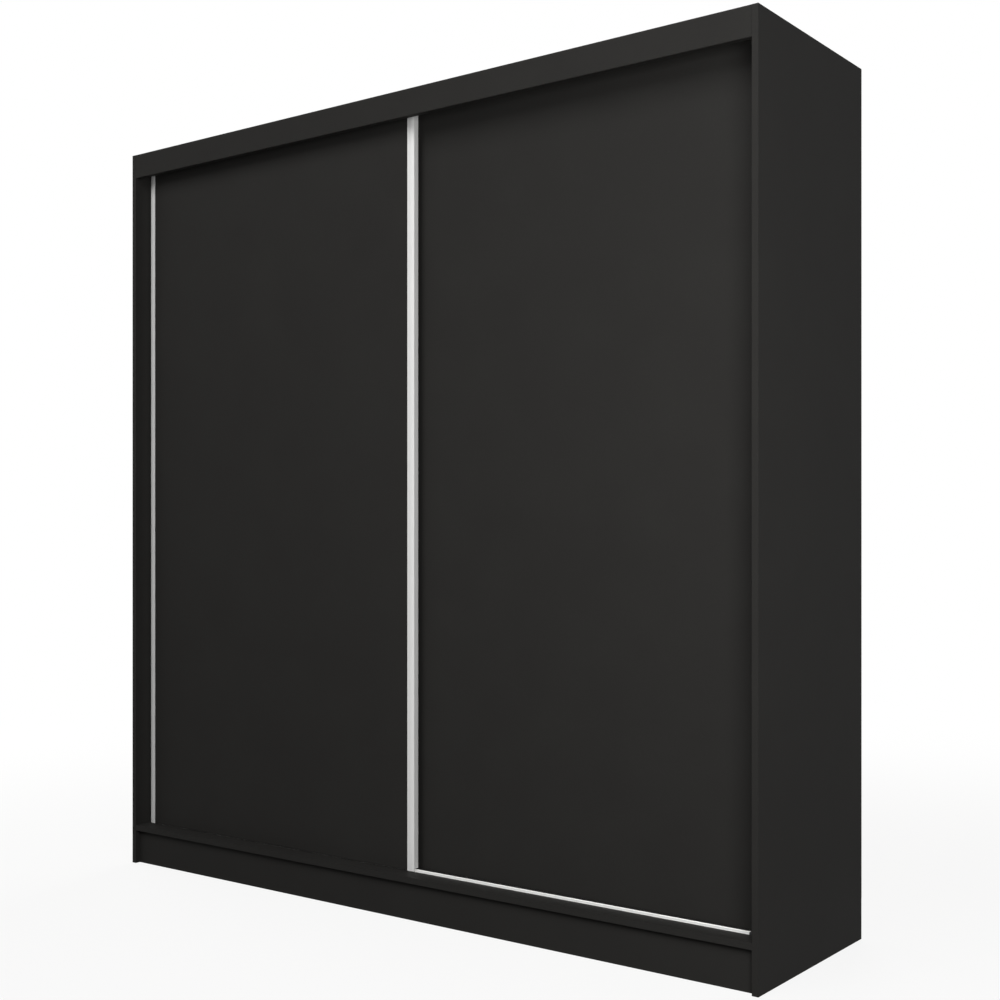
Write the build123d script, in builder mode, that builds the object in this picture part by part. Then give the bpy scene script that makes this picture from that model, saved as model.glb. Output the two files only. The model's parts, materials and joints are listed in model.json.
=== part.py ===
from build123d import *
import math
import os

# A free-standing wardrobe with two sliding doors, in millimetres.
# The origin is on the floor under the middle of the carcass: +X right, +Y to the back, +Z up.
# The left door runs in the front plane and the right door in the rear plane. Each door rolls on a
# low rail under its own panel and is steadied by a channel behind the fascia.

os.makedirs("parts", exist_ok=True)

# ---------------------------------------------------------------- carcass
width = 2100.0
height = 2150.0
depth = 560.0
board = 16.0                  # thickness of every carcass board
back_sheet = 3.0              # hardboard back, nailed on
back_margin = 1.0             # the back stays inside the outline by this much
fascia_height = 70.0
plinth_height = 99.0
plinth_setback = 16.0
edge_radius = 0.6             # rounding of the edging on the front edges
cut_past = 1.0                # how far an open cut runs past the face it opens

# ---------------------------------------------------------------- interior
interior_gap = 8.0            # from the rear door's back to the partition
shelf_setback = 3.0           # shelf front behind the partition's front edge
shelf_clearance = 0.8         # shelf end to the board beside it, and shelf to the back
hat_space = 300.0             # clear height above the top shelves
lower_shelves = 4             # shelves below the top shelf in the left bay

# ---------------------------------------------------------------- doors
door_board = 16.0
door_setback = 49.5           # front plane of the front door behind the carcass front
door_pitch = 36.0             # front door to rear door
door_overlap = 60.0           # how far the closed doors cover each other
door_side_gap = 7.0           # closed door to side panel
door_top_gap = 3.0            # door to the top track's channels
door_floor_gap = 1.4          # door lip to the bottom panel
lip_depth = 4.0               # what stays of the door in front of its rail
lip_clearance = 1.5           # lip to rail
rail_head_gap = 2.5           # rebated door bottom above the rail

# ---------------------------------------------------------------- grip profile of a door
profile_width = 21.0
profile_wall = 1.4
profile_bow = 12.0            # width of the bowed outer part of the face
profile_bow_drop = 3.0        # how far the bow falls back at its outer side
profile_chamber = 12.4        # outer side of the profile to the edge of the panel
profile_rear_flange = 20.0
panel_fit = 0.1               # panel to profile, each side

# ---------------------------------------------------------------- rails and track
rail_width = 8.5
rail_height = 5.5
rail_wall = 1.5
rail_groove_width = 6.0
rail_groove_depth = 2.0
rail_end_gap = 34.0           # rail end to side panel, filled by a plastic piece
plug_length = 15.0            # end piece's plug inside the rail
plug_fit = 0.2
track_wall = 1.5
track_height = 22.0
track_flange = 5.0            # top plate beyond the outer channel walls
track_end_gap = 1.0

# ---------------------------------------------------------------- rollers and guides
wheel_radius = 12.0
wheel_width = 5.0
wheel_lift = 0.3              # wheel to the groove's floor
wheel_round = 0.8             # rounding of the tread's shoulders
wheel_slot = 1.0              # free space around the wheel in its housing
wheel_side_gap = 0.6
wheel_inset = 60.0            # wheel and guide centres from the door's edge
axle_radius = 2.0
axle_fit = 0.05               # running clearance, radial
axle_skin = 0.8               # housing left in front of the axle
fitting_width = 34.0          # roller housings and top guides
fitting_screw_pitch = 18.0
housing_height = 50.0
housing_skin = 2.5            # front of the door left over the housing's pocket
housing_fit = 0.2
flange_thickness = 2.0
flange_rise = 20.0            # housing flange above the pocket
guide_plate = 3.0
guide_plate_height = 45.0
guide_arm_gap = 1.0           # guide's arm to the channel walls above it
guide_tongue_gap = 4.5        # tongue to the top of its channel
guide_fit = 0.5               # tongue to each channel wall

# ---------------------------------------------------------------- small fittings
cam_radius = 7.5
cam_depth = 12.5
cam_inset = 34.0              # cam centre from the end of its board
cam_fit = 0.1
cam_row_inset = 60.0          # outer rows of cams from the boards' front and back edges
bolt_radius = 3.0
bolt_sink = 10.0              # bolt in the side panel
dowel_radius = 4.0
dowel_length = 30.0
dowel_sink = 10.0
dowel_offset = 40.0           # dowel from the cam beside it
peg_fit = 0.05                # radial clearance of pegs, bolts, nails and screws
seat_gap = 0.3                # clearance at the bottom of a blind hole
confirmat_radius = 3.0
confirmat_head = 5.0
confirmat_head_depth = 4.0
confirmat_length = 50.0
nail_radius = 0.8
nail_head = 1.6
nail_head_depth = 0.6
nail_length = 20.0
nail_pitch = 180.0
back_seam = 1.0               # between the two sheets of the back
screw_radius = 1.5
screw_head = 2.7
screw_head_depth = 1.0
screw_grip = 10.0             # screw thread in a board
rail_screws = 5               # screws along each rail and each track channel
pin_radius = 2.5
pin_sink = 7.0
pin_arm = 8.0
pin_arm_width = 7.0
pin_arm_depth = 5.0
pin_edge_inset = 37.0         # pins from the shelf's front and back edges
buffer_radius = 4.0
buffer_squeeze = 0.3          # buffer to a closed door
buffer_heights = (600.0, 1650.0)

# ---------------------------------------------------------------- hanging rail
tube_height = 30.0
tube_width = 15.0
tube_wall = 1.0
tube_drop = 60.0              # tube centre below the shelf
tube_fit = 0.2
cup_wall = 2.5
cup_length = 12.0
cup_flange = 2.5
cup_flange_height = 62.0
cup_screw_inset = 7.0

# ---------------------------------------------------------------- wall brackets
bracket_width = 30.0
bracket_leg = 40.0
bracket_wall = 2.0
bracket_hole = 4.0            # radius of the wall bolt's hole
bracket_hole_drop = 25.0      # hole below the top panel
bracket_spacing = 1400.0
bracket_screw_pitch = 14.0

# ---------------------------------------------------------------- derived places
front = -depth / 2
back = depth / 2
board_back = back - back_sheet                # rear edge of the boards, front of the hardboard
inner = width / 2 - board                     # inner faces of the side panels at x = +-inner
floor_top = plinth_height + board             # top of the bottom panel
ceiling = height - board                      # underside of the top panel

profile_depth = 2 * profile_wall + 2 * panel_fit + door_board
panel_front = profile_wall + panel_fit        # panel behind the door's front plane
panel_back = panel_front + door_board
bow_radius = (profile_bow**2 + profile_bow_drop**2) / (2 * profile_bow_drop)

rail_from_door = lip_depth + lip_clearance    # rail's front face behind the door's front plane
wheel_plane = rail_from_door + rail_width / 2
groove_floor = floor_top + rail_height - rail_groove_depth
axle_height = groove_floor + wheel_lift + wheel_radius
door_bottom = floor_top + door_floor_gap
rebate_top = floor_top + rail_height + rail_head_gap
track_bottom = ceiling - track_height
door_top = track_bottom - door_top_gap
door_width = inner - door_side_gap + door_overlap / 2

front_door = front + door_setback             # front planes of the two doors
rear_door = front_door + door_pitch
left_door_edge = -inner + door_side_gap
right_door_edge = inner - door_side_gap - door_width
interior_front = rear_door + profile_depth + interior_gap
top_shelf = ceiling - hat_space - board       # underside of the top shelves
half_board = board / 2
guide_arm = door_top_gap - guide_arm_gap
axle_start = panel_front + housing_skin + housing_fit + axle_skin
axle_length = panel_back + flange_thickness - axle_start


# ---------------------------------------------------------------- helpers
def save(piece, label):
    """Name a finished piece and write it to its own STEP file."""
    piece.label = label
    export_step(piece, f"parts/{label}.step")


def block(low, high, mode=Mode.ADD):
    """Add or cut a block between two opposite corners in the part being built."""
    middle = tuple((a + b) / 2 for a, b in zip(low, high))
    sizes = tuple(b - a for a, b in zip(low, high))
    with Locations(middle):
        Box(*sizes, mode=mode)


def round_bars(planes, radius, length, mode=Mode.ADD):
    """Add or cut a round bar at each plane, starting on it and running along its normal."""
    with Locations(*planes):
        Cylinder(radius, length, align=(Align.CENTER, Align.CENTER, Align.MIN), mode=mode)


def drill(planes, radius, length, fit=peg_fit):
    """Cut the hole for a round bar: wider by its fit, and longer by the seat gap at each end."""
    starts = [plane.offset(-seat_gap) for plane in planes]
    round_bars(starts, radius + fit, length + 2 * seat_gap, Mode.SUBTRACT)


def facing(points, direction):
    """Planes at the points whose normals are the direction."""
    return [Plane(origin=point, z_dir=direction) for point in points]


def spread(low, high, count):
    """Evenly spaced places from low to high, both included."""
    return [low + (high - low) * step / (count - 1) for step in range(count)]


def screws(planes, through):
    """Add screws: heads sunk below the planes, shanks through a part and on into the board."""
    round_bars(planes, screw_radius, through + screw_grip)
    round_bars(planes, screw_head, screw_head_depth)


def screw_holes(planes, through):
    """Cut the clearance for the same screws."""
    drill(planes, screw_radius, through + screw_grip)
    round_bars(planes, screw_head + peg_fit, screw_head_depth, Mode.SUBTRACT)


# ---------------------------------------------------------------- joints of the carcass
# A cam joint is a lock in the face of a cross board and a bolt from the side panel that meets it.
# Each entry gives the lock mouths (y, z) on the board's face and the direction into the board.
cam_rows = [front + cam_row_inset, (front + back) / 2, board_back - cam_row_inset]
cross_boards = {
    "top_panel": ([(y, ceiling) for y in cam_rows], (0, 0, 1)),
    "bottom_panel": ([(y, plinth_height) for y in cam_rows], (0, 0, 1)),
    "fascia": ([(front + board, height - fascia_height / 2)], (0, -1, 0)),
    "plinth_front": ([(front + plinth_setback + board, plinth_height / 2)], (0, -1, 0)),
    "plinth_rear": ([(board_back - board, plinth_height / 2)], (0, 1, 0)),
}
upright_heights = {"fascia": fascia_height, "plinth_front": plinth_height, "plinth_rear": plinth_height}


def cam_planes(name):
    """Mouths of a cross board's locks, at both of its ends."""
    mouths, into = cross_boards[name]
    return facing([(side * (inner - cam_inset), y, z) for side in (-1, 1) for y, z in mouths], into)


def mid_board(y, z, into):
    """The point half a board inside a face."""
    return y + into[1] * half_board, z + into[2] * half_board


def bolt_planes(name, side):
    """Starts of a cross board's bolts, inside the side panel, pointing into the cross board."""
    mouths, into = cross_boards[name]
    centres = [mid_board(y, z, into) for y, z in mouths]
    return facing([(side * (inner + bolt_sink), y, z) for y, z in centres], (-side, 0, 0))


def dowel_planes(name, side):
    """Starts of a cross board's dowels: below an upright board's bolt, beside a flat one's outer bolts."""
    mouths, into = cross_boards[name]
    first_y, first_z = mid_board(*mouths[0], into)
    last_y, last_z = mid_board(*mouths[-1], into)
    if name in upright_heights:
        spots = [(first_y, first_z - upright_heights[name] / 4)]
    else:
        spots = [(first_y + dowel_offset, first_z), (last_y - dowel_offset, last_z)]
    return facing([(side * (inner + dowel_sink), y, z) for y, z in spots], (-side, 0, 0))


bolt_length = bolt_sink + cam_inset - cam_radius - seat_gap
all_cams = [plane for name in cross_boards for plane in cam_planes(name)]
all_bolts = {side: [p for name in cross_boards for p in bolt_planes(name, side)] for side in (-1, 1)}
all_dowels = {side: [p for name in cross_boards for p in dowel_planes(name, side)] for side in (-1, 1)}


def join_cross_board(name):
    """Cut a cross board's seats for its locks, bolts and dowels."""
    round_bars(cam_planes(name), cam_radius + cam_fit, cam_depth + cam_fit, Mode.SUBTRACT)
    for side in (-1, 1):
        drill(bolt_planes(name, side), bolt_radius, bolt_length)
        drill(dowel_planes(name, side), dowel_radius, dowel_length)


# Screws that hold the partition, from below the bottom panel and from above the top panel.
partition_rows = spread(interior_front + cam_row_inset, board_back - cam_row_inset, 3)
partition_floor_screws = facing([(0, y, plinth_height) for y in partition_rows], (0, 0, 1))
partition_top_screws = facing([(0, y, height) for y in partition_rows], (0, 0, -1))


def confirmat_holes(planes):
    """Cut the clearance for the partition's screws and their sunk heads."""
    drill(planes, confirmat_radius, confirmat_length)
    round_bars(planes, confirmat_head + peg_fit, confirmat_head_depth + peg_fit, Mode.SUBTRACT)


# Dowels that hold the middle support between the two plinths.
support_front = front + plinth_setback + board
support_back = board_back - board
support_peg_heights = (plinth_height / 4, plinth_height * 3 / 4)
support_front_pegs = facing([(0, support_front - dowel_sink, z) for z in support_peg_heights], (0, 1, 0))
support_back_pegs = facing([(0, support_back + dowel_sink, z) for z in support_peg_heights], (0, -1, 0))
support_dowels = support_front_pegs + support_back_pegs

# Shelves: undersides, and the pins under them on the faces of a bay's two boards.
compartment = (top_shelf - floor_top - lower_shelves * board) / (lower_shelves + 1)
lower_undersides = [floor_top + compartment * (n + 1) + board * n for n in range(lower_shelves)]
left_undersides = lower_undersides + [top_shelf]
shelf_front = interior_front + shelf_setback
shelf_back = board_back - shelf_clearance
pin_rows = (shelf_front + pin_edge_inset, shelf_back - pin_edge_inset)


def pin_spots(undersides):
    """Places (y, z) of the pins' centres under the given shelves."""
    return [(y, z - pin_arm_depth / 2) for z in undersides for y in pin_rows]


def pin_planes(face, out, undersides):
    """Pin starts inside a board whose face is at x = face; out is the way into the bay."""
    return facing([(face - out * pin_sink, y, z) for y, z in pin_spots(undersides)], (out, 0, 0))


left_bay_pins = pin_planes(-inner, 1, left_undersides), pin_planes(-half_board, -1, left_undersides)
right_bay_pins = pin_planes(half_board, 1, [top_shelf]), pin_planes(inner, -1, [top_shelf])

# Hanging rail in the right bay.
tube_y = (shelf_front + shelf_back) / 2
tube_z = top_shelf - tube_drop
tube_bore = (tube_height - 2 * tube_wall, tube_width - 2 * tube_wall)
tube_ends = (half_board + cup_flange + tube_fit, inner - cup_flange - tube_fit)
cup_bore = (tube_height + 2 * tube_fit, tube_width + 2 * tube_fit)
cup_height, cup_width = (size + 2 * cup_wall for size in cup_bore)
cup_screw_reach = cup_flange_height / 2 - cup_screw_inset


def cup_screw_planes(face, out):
    """Screws of the tube's bracket on a board face, driven into the board."""
    spots = [(face + out * cup_flange, tube_y, tube_z + way * cup_screw_reach) for way in (-1, 1)]
    return facing(spots, (-out, 0, 0))


# Rails on the bottom panel and the track under the top panel.
rail_fronts = {"front": front_door + rail_from_door, "rear": rear_door + rail_from_door}
rail_end = inner - rail_end_gap
rail_screw_places = spread(-rail_end + rail_end_gap, rail_end - rail_end_gap, rail_screws)
rail_through = rail_height - rail_groove_depth
rail_cavity = rail_through - rail_wall
rail_land = (rail_width - rail_groove_width) / 2
rail_section = [
    (0, 0),
    (rail_wall, 0),
    (rail_wall, rail_cavity),
    (rail_width - rail_wall, rail_cavity),
    (rail_width - rail_wall, 0),
    (rail_width, 0),
    (rail_width, rail_height),
    (rail_width - rail_land, rail_height),
    (rail_width - rail_land, rail_through),
    (rail_land, rail_through),
    (rail_land, rail_height),
    (0, rail_height),
]
rail_screw_spots = [(x, y + rail_width / 2) for y in rail_fronts.values() for x in rail_screw_places]
rail_screw_planes = facing([(x, y, groove_floor) for x, y in rail_screw_spots], (0, 0, -1))
track_plate_bottom = ceiling - track_wall
track_screw_planes = facing([(x, y, track_plate_bottom) for x, y in rail_screw_spots], (0, 0, 1))
track_end = inner - track_end_gap

# Wall brackets under the top panel, against the back.
bracket_middles = {side: side * bracket_spacing / 2 for side in (-1, 1)}
bracket_hole_z = ceiling - bracket_hole_drop
bracket_hole_planes = {
    side: facing([(x, board_back - bracket_wall, bracket_hole_z)], (0, 1, 0))
    for side, x in bracket_middles.items()
}
bracket_screw_x = [x + way * bracket_screw_pitch / 2 for x in bracket_middles.values() for way in (-1, 1)]
bracket_screw_y = board_back - bracket_leg / 2
bracket_screw_spots = [(x, bracket_screw_y, ceiling - bracket_wall) for x in bracket_screw_x]
bracket_screw_planes = facing(bracket_screw_spots, (0, 0, 1))

# Nails through the back into the edges of the boards behind it.
sheet_low = plinth_height + back_margin
sheet_high = height - back_margin
nail_side_x = width / 2 - half_board
nail_floor_z = plinth_height + half_board
nail_top_z = ceiling + half_board
nail_middle_x = half_board / 2


def nail_planes(places):
    """Planes on the back, pointing forwards, at places (x, z)."""
    return facing([(x, back, z) for x, z in places], (0, -1, 0))


nail_rows = max(2, round((nail_top_z - nail_floor_z) / nail_pitch)) + 1
nail_columns = max(2, round((nail_side_x - nail_middle_x) / nail_pitch)) + 1
nail_heights = spread(nail_floor_z, nail_top_z, nail_rows)[1:-1]
nail_across = spread(nail_middle_x, nail_side_x, nail_columns)[1:-1]
side_nails = {side: nail_planes([(side * nail_side_x, z) for z in nail_heights]) for side in (-1, 1)}
middle_nails = {side: nail_planes([(side * nail_middle_x, z) for z in nail_heights]) for side in (-1, 1)}
floor_nails = {side: nail_planes([(side * x, nail_floor_z) for x in nail_across]) for side in (-1, 1)}
top_nails = {side: nail_planes([(side * x, nail_top_z) for x in nail_across]) for side in (-1, 1)}
sheet_nails = {
    side: side_nails[side] + middle_nails[side] + floor_nails[side] + top_nails[side] for side in (-1, 1)
}


def nail_holes(planes):
    """Cut the clearance for nails and their sunk heads."""
    drill(planes, nail_radius, nail_length)
    round_bars(planes, nail_head + peg_fit, nail_head_depth, Mode.SUBTRACT)


# ---------------------------------------------------------------- carcass boards
side_pins = {-1: left_bay_pins[0], 1: right_bay_pins[1]}
for side, name in {-1: "side_panel_left", 1: "side_panel_right"}.items():
    outside, inside = sorted((side * width / 2, side * inner))
    with BuildPart() as side_panel:
        block((outside, front, 0), (inside, board_back, height))
        fillet(side_panel.edges().filter_by(Axis.Z).group_by(Axis.Y)[0], edge_radius)
        drill(all_bolts[side], bolt_radius, bolt_sink)
        drill(all_dowels[side], dowel_radius, dowel_sink)
        drill(side_pins[side], pin_radius, pin_sink)
        nail_holes(side_nails[side])
        if side == 1:
            screw_holes(cup_screw_planes(inner, -1), cup_flange)
    save(side_panel.part, name)

with BuildPart() as top_panel:
    block((-inner, front + board, ceiling), (inner, board_back, height))
    join_cross_board("top_panel")
    nail_holes(top_nails[-1] + top_nails[1])
    confirmat_holes(partition_top_screws)
    screw_holes(track_screw_planes, track_wall)
    screw_holes(bracket_screw_planes, bracket_wall)
save(top_panel.part, "top_panel")

with BuildPart() as fascia:
    block((-inner, front, height - fascia_height), (inner, front + board, height))
    fillet(fascia.edges().filter_by(Axis.X).group_by(Axis.Y)[0], edge_radius)
    join_cross_board("fascia")
save(fascia.part, "fascia")

with BuildPart() as bottom_panel:
    block((-inner, front, plinth_height), (inner, board_back, floor_top))
    fillet(bottom_panel.edges().filter_by(Axis.X).group_by(Axis.Y)[0], edge_radius)
    join_cross_board("bottom_panel")
    nail_holes(floor_nails[-1] + floor_nails[1])
    confirmat_holes(partition_floor_screws)
    screw_holes(rail_screw_planes, rail_through)
save(bottom_panel.part, "bottom_panel")

with BuildPart() as plinth_front:
    block((-inner, front + plinth_setback, 0), (inner, support_front, plinth_height))
    join_cross_board("plinth_front")
    drill(support_dowels, dowel_radius, dowel_length)
save(plinth_front.part, "plinth_front")

with BuildPart() as plinth_rear:
    block((-inner, support_back, 0), (inner, board_back, plinth_height))
    join_cross_board("plinth_rear")
    drill(support_dowels, dowel_radius, dowel_length)
save(plinth_rear.part, "plinth_rear")

with BuildPart() as plinth_support:
    block((-half_board, support_front, 0), (half_board, support_back, plinth_height))
    drill(support_dowels, dowel_radius, dowel_length)
save(plinth_support.part, "plinth_support")

with BuildPart() as partition:
    block((-half_board, interior_front, floor_top), (half_board, board_back, ceiling))
    fillet(partition.edges().filter_by(Axis.Z).group_by(Axis.Y)[0], edge_radius)
    drill(left_bay_pins[1] + right_bay_pins[0], pin_radius, pin_sink)
    nail_holes(middle_nails[-1] + middle_nails[1])
    confirmat_holes(partition_floor_screws + partition_top_screws)
    screw_holes(cup_screw_planes(half_board, 1), cup_flange)
save(partition.part, "partition")

for side, name in {-1: "back_panel_left", 1: "back_panel_right"}.items():
    seam, rim = sorted((side * back_seam / 2, side * (width / 2 - back_margin)))
    with BuildPart() as back_panel:
        block((seam, board_back, sheet_low), (rim, back, sheet_high))
        nail_holes(sheet_nails[side])
        round_bars(bracket_hole_planes[side], bracket_hole, bracket_wall + back_sheet, Mode.SUBTRACT)
    save(back_panel.part, name)

# ---------------------------------------------------------------- shelves and hanging rail
shelf_places = {f"left_shelf_{n + 1}": (-inner, -half_board, z) for n, z in enumerate(left_undersides)}
shelf_places["right_shelf"] = (half_board, inner, top_shelf)
for name, (left, right, underside) in shelf_places.items():
    with BuildPart() as shelf:
        block(
            (left + shelf_clearance, shelf_front, underside),
            (right - shelf_clearance, shelf_back, underside + board),
        )
        fillet(shelf.edges().filter_by(Axis.X).group_by(Axis.Y)[0], edge_radius)
    save(shelf.part, name)

with BuildPart() as shelf_pins:
    for planes in left_bay_pins + right_bay_pins:
        round_bars(planes, pin_radius, pin_sink)
    for face, out, undersides in (
        (-inner, 1, left_undersides),
        (-half_board, -1, left_undersides),
        (half_board, 1, [top_shelf]),
        (inner, -1, [top_shelf]),
    ):
        with Locations(*[(face + out * pin_arm / 2, y, z) for y, z in pin_spots(undersides)]):
            Box(pin_arm, pin_arm_width, pin_arm_depth)
save(shelf_pins.part, "shelf_pins")

with BuildPart() as hanging_rail:
    with BuildSketch(Plane(origin=(tube_ends[0], tube_y, tube_z), x_dir=(0, 1, 0), z_dir=(1, 0, 0))):
        SlotOverall(tube_height, tube_width, rotation=90)
        SlotOverall(*tube_bore, rotation=90, mode=Mode.SUBTRACT)
    extrude(amount=tube_ends[1] - tube_ends[0])
save(hanging_rail.part, "hanging_rail")

for name, face, out in (("rail_bracket_left", half_board, 1), ("rail_bracket_right", inner, -1)):
    with BuildPart() as rail_bracket:
        with BuildSketch(Plane(origin=(face, tube_y, tube_z), x_dir=(0, 1, 0), z_dir=(out, 0, 0))):
            SlotOverall(cup_flange_height, cup_width, rotation=90)
        extrude(amount=cup_flange)
        with BuildSketch(
            Plane(origin=(face + out * cup_flange, tube_y, tube_z), x_dir=(0, 1, 0), z_dir=(out, 0, 0))
        ):
            SlotOverall(cup_height, cup_width, rotation=90)
            SlotOverall(*cup_bore, rotation=90, mode=Mode.SUBTRACT)
        extrude(amount=cup_length)
        screw_holes(cup_screw_planes(face, out), cup_flange)
    save(rail_bracket.part, name)

with BuildPart() as rail_bracket_screws:
    screws(cup_screw_planes(half_board, 1) + cup_screw_planes(inner, -1), cup_flange)
save(rail_bracket_screws.part, "rail_bracket_screws")

# ---------------------------------------------------------------- rails and top track
for name, y in rail_fronts.items():
    with BuildPart() as bottom_rail:
        with BuildSketch(Plane(origin=(-rail_end, y, floor_top), x_dir=(0, 1, 0), z_dir=(1, 0, 0))):
            with BuildLine():
                Polyline(rail_section, close=True)
            make_face()
        extrude(amount=2 * rail_end)
        screw_holes(rail_screw_planes, rail_through)
    save(bottom_rail.part, f"bottom_rail_{name}")

with BuildPart() as rail_end_pieces:
    for side in (-1, 1):
        for y in rail_fronts.values():
            plug, outer_end, rim = (side * x for x in (rail_end - plug_length, rail_end + plug_fit, inner))
            near, far = sorted((outer_end, rim))
            block((near, y, floor_top), (far, y + rail_width, floor_top + rail_height))
            near, far = sorted((plug, outer_end))
            block(
                (near, y + rail_wall + plug_fit, floor_top),
                (far, y + rail_width - rail_wall - plug_fit, floor_top + rail_cavity - plug_fit),
            )
save(rail_end_pieces.part, "rail_end_pieces")

with BuildPart() as top_track:
    plate_front = rail_fronts["front"] - track_wall - track_flange
    plate_back = rail_fronts["rear"] + rail_width + track_wall + track_flange
    block((-track_end, plate_front, track_plate_bottom), (track_end, plate_back, ceiling))
    for y in rail_fronts.values():
        for wall_y in (y - track_wall, y + rail_width):
            block((-track_end, wall_y, track_bottom), (track_end, wall_y + track_wall, track_plate_bottom))
    screw_holes(track_screw_planes, track_wall)
save(top_track.part, "top_track")

with BuildPart() as bottom_rail_screws:
    screws(rail_screw_planes, rail_through)
save(bottom_rail_screws.part, "bottom_rail_screws")

with BuildPart() as top_track_screws:
    screws(track_screw_planes, track_wall)
save(top_track_screws.part, "top_track_screws")

with BuildPart() as door_buffers:
    door_middles = [face + wheel_plane for face in (front_door, rear_door)]
    for side in (-1, 1):
        spots = [(side * inner, y, z) for y in door_middles for z in buffer_heights]
        round_bars(facing(spots, (-side, 0, 0)), buffer_radius, door_side_gap - buffer_squeeze)
save(door_buffers.part, "door_buffers")

# ---------------------------------------------------------------- wall brackets
for side, name in {-1: "wall_bracket_left", 1: "wall_bracket_right"}.items():
    low = bracket_middles[side] - bracket_width / 2
    high = bracket_middles[side] + bracket_width / 2
    with BuildPart() as wall_bracket:
        block((low, board_back - bracket_leg, ceiling - bracket_wall), (high, board_back, ceiling))
        block((low, board_back - bracket_wall, ceiling - bracket_leg), (high, board_back, ceiling))
        round_bars(bracket_hole_planes[side], bracket_hole, bracket_wall + back_sheet, Mode.SUBTRACT)
        screw_holes(bracket_screw_planes, bracket_wall)
    save(wall_bracket.part, name)

with BuildPart() as wall_bracket_screws:
    screws(bracket_screw_planes, bracket_wall)
save(wall_bracket_screws.part, "wall_bracket_screws")

# ---------------------------------------------------------------- joints of the carcass
with BuildPart() as cam_locks:
    round_bars(all_cams, cam_radius, cam_depth)
save(cam_locks.part, "cam_locks")

with BuildPart() as cam_bolts:
    round_bars(all_bolts[-1] + all_bolts[1], bolt_radius, bolt_length)
save(cam_bolts.part, "cam_bolts")

with BuildPart() as dowels:
    round_bars(all_dowels[-1] + all_dowels[1] + support_dowels, dowel_radius, dowel_length)
save(dowels.part, "dowels")

with BuildPart() as partition_screws:
    round_bars(partition_floor_screws + partition_top_screws, confirmat_radius, confirmat_length)
    round_bars(partition_floor_screws + partition_top_screws, confirmat_head, confirmat_head_depth)
save(partition_screws.part, "partition_screws")

with BuildPart() as back_nails:
    round_bars(sheet_nails[-1] + sheet_nails[1], nail_radius, nail_length)
    round_bars(sheet_nails[-1] + sheet_nails[1], nail_head, nail_head_depth)
save(back_nails.part, "back_nails")


# ---------------------------------------------------------------- doors
def bow(u, inset=0.0):
    """Depth of the profile's bowed face at a distance u from its outer side, inset by a wall."""
    return bow_radius - math.sqrt((bow_radius - inset) ** 2 - (profile_bow - u) ** 2)


def grip_profile(name, edge, way, face):
    """A door's edge profile: its outer side is at x = edge, and way points out of the door."""

    def at(u, d):
        return edge - way * u, face + d

    web = profile_chamber - profile_wall
    hollow_start, hollow_end = profile_wall, web
    back_inside = profile_depth - profile_wall
    with BuildPart() as profile:
        with BuildSketch(Plane.XY.offset(door_bottom)):
            with BuildLine():
                ThreePointArc(at(profile_bow, 0), at(profile_bow / 2, bow(profile_bow / 2)), at(0, bow(0)))
                Polyline(
                    at(0, bow(0)),
                    at(0, profile_depth),
                    at(profile_rear_flange, profile_depth),
                    at(profile_rear_flange, back_inside),
                    at(profile_chamber, back_inside),
                    at(profile_chamber, profile_wall),
                    at(profile_width, profile_wall),
                    at(profile_width, 0),
                    at(profile_bow, 0),
                )
            make_face()
            with BuildLine():
                hollow_places = (hollow_start, (hollow_start + hollow_end) / 2, hollow_end)
                bow_start, bow_middle, bow_end = [at(u, bow(u, profile_wall)) for u in hollow_places]
                ThreePointArc(bow_start, bow_middle, bow_end)
                Polyline(bow_end, at(hollow_end, back_inside), at(hollow_start, back_inside), bow_start)
            make_face(mode=Mode.SUBTRACT)
        extrude(amount=door_top - door_bottom)
        rebate(edge - profile_width, edge + profile_width, face)
    save(profile.part, name)


def rebate(left, right, face):
    """Cut the door's bottom back from behind, so that its lip hangs in front of the rail."""
    block(
        (left, face + lip_depth, door_bottom - cut_past),
        (right, face + profile_depth + cut_past, rebate_top),
        Mode.SUBTRACT,
    )


def wheel(name, x, face):
    """A roller wheel with a running bore, standing just clear of its groove."""
    with BuildPart() as roller:
        wheel_back = face + wheel_plane + wheel_width / 2
        with BuildSketch(Plane(origin=(x, wheel_back, axle_height), z_dir=(0, -1, 0))):
            Circle(wheel_radius)
            Circle(axle_radius + axle_fit, mode=Mode.SUBTRACT)
        extrude(amount=wheel_width)
        rims = roller.edges().filter_by(GeomType.CIRCLE).sort_by(SortBy.RADIUS)[-2:]
        fillet(rims, wheel_round)
    save(roller.part, name)


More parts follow.
